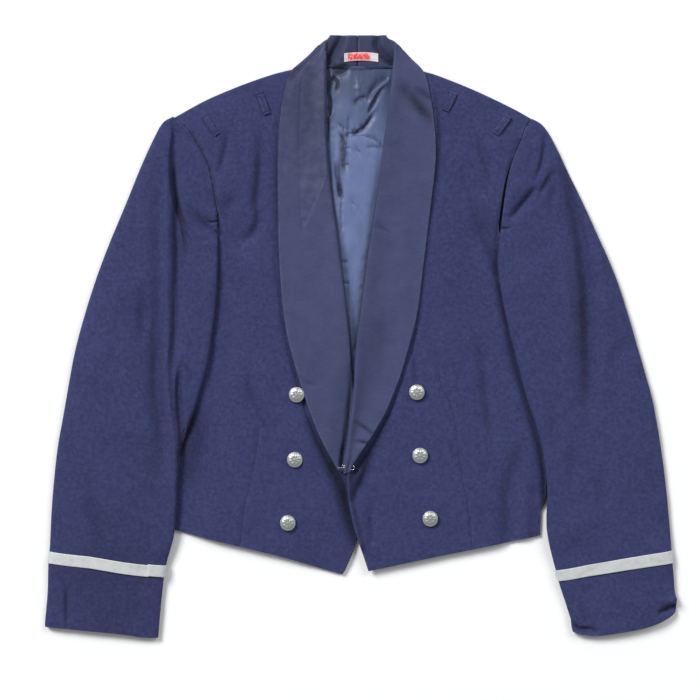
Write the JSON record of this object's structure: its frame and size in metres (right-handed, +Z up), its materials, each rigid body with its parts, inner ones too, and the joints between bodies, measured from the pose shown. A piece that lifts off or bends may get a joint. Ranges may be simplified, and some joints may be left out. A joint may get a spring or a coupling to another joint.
{
  "type": "mess dress jacket",
  "caption": "Waist-length mess dress jacket with a satin shawl collar, domed buttons, shoulder loops and silver cuff braid, laid flat on its back with its sleeves over its sides.",
  "frame": {"origin": "on the surface that the jacket lies on, under the middle of its bounding box", "axes": "+X from the wearer's right sleeve to the left one, +Y from the hem to the collar, +Z up from the surface, out of the front of the jacket"},
  "size_m": [0.7566, 0.7236, 0.0261],
  "materials": {
    "wool": "navy barathea wool with a matt, slightly napped face",
    "satin": "navy ribbed satin with a soft sheen",
    "lining": "slate blue satin lining, shiny",
    "braid": "flat woven silver braid with three ribs",
    "label": "woven label, red with white ends, plain",
    "button_metal": "antique silver, darker in its recesses",
    "wire": "bright plated wire"
  },
  "bodies": {
    "root": {"back_left": "wool", "back_right": "wool", "front_left": "wool", "front_right": "wool", "top_sleeve_left": "wool", "top_sleeve_right": "wool", "under_sleeve_left": "wool", "under_sleeve_right": "wool", "shoulder_loop_left_outer": "wool", "shoulder_loop_left_inner": "wool", "shoulder_loop_right_inner": "wool", "shoulder_loop_right_outer": "wool", "shawl_left": "satin", "shawl_right": "satin", "collar_stand_left": "satin", "collar_stand_right": "satin", "collar_fall_left": "satin", "collar_fall_right": "satin", "back_lining": "lining", "cuff_braid_left": "braid", "cuff_braid_right": "braid", "neck_label": "label", "button_left_top": "button_metal", "button_left_middle": "button_metal", "button_left_bottom": "button_metal", "button_right_top": "button_metal", "button_right_middle": "button_metal", "button_right_bottom": "button_metal", "hook": "wire", "eye": "wire"}
  },
  "joints": []
}
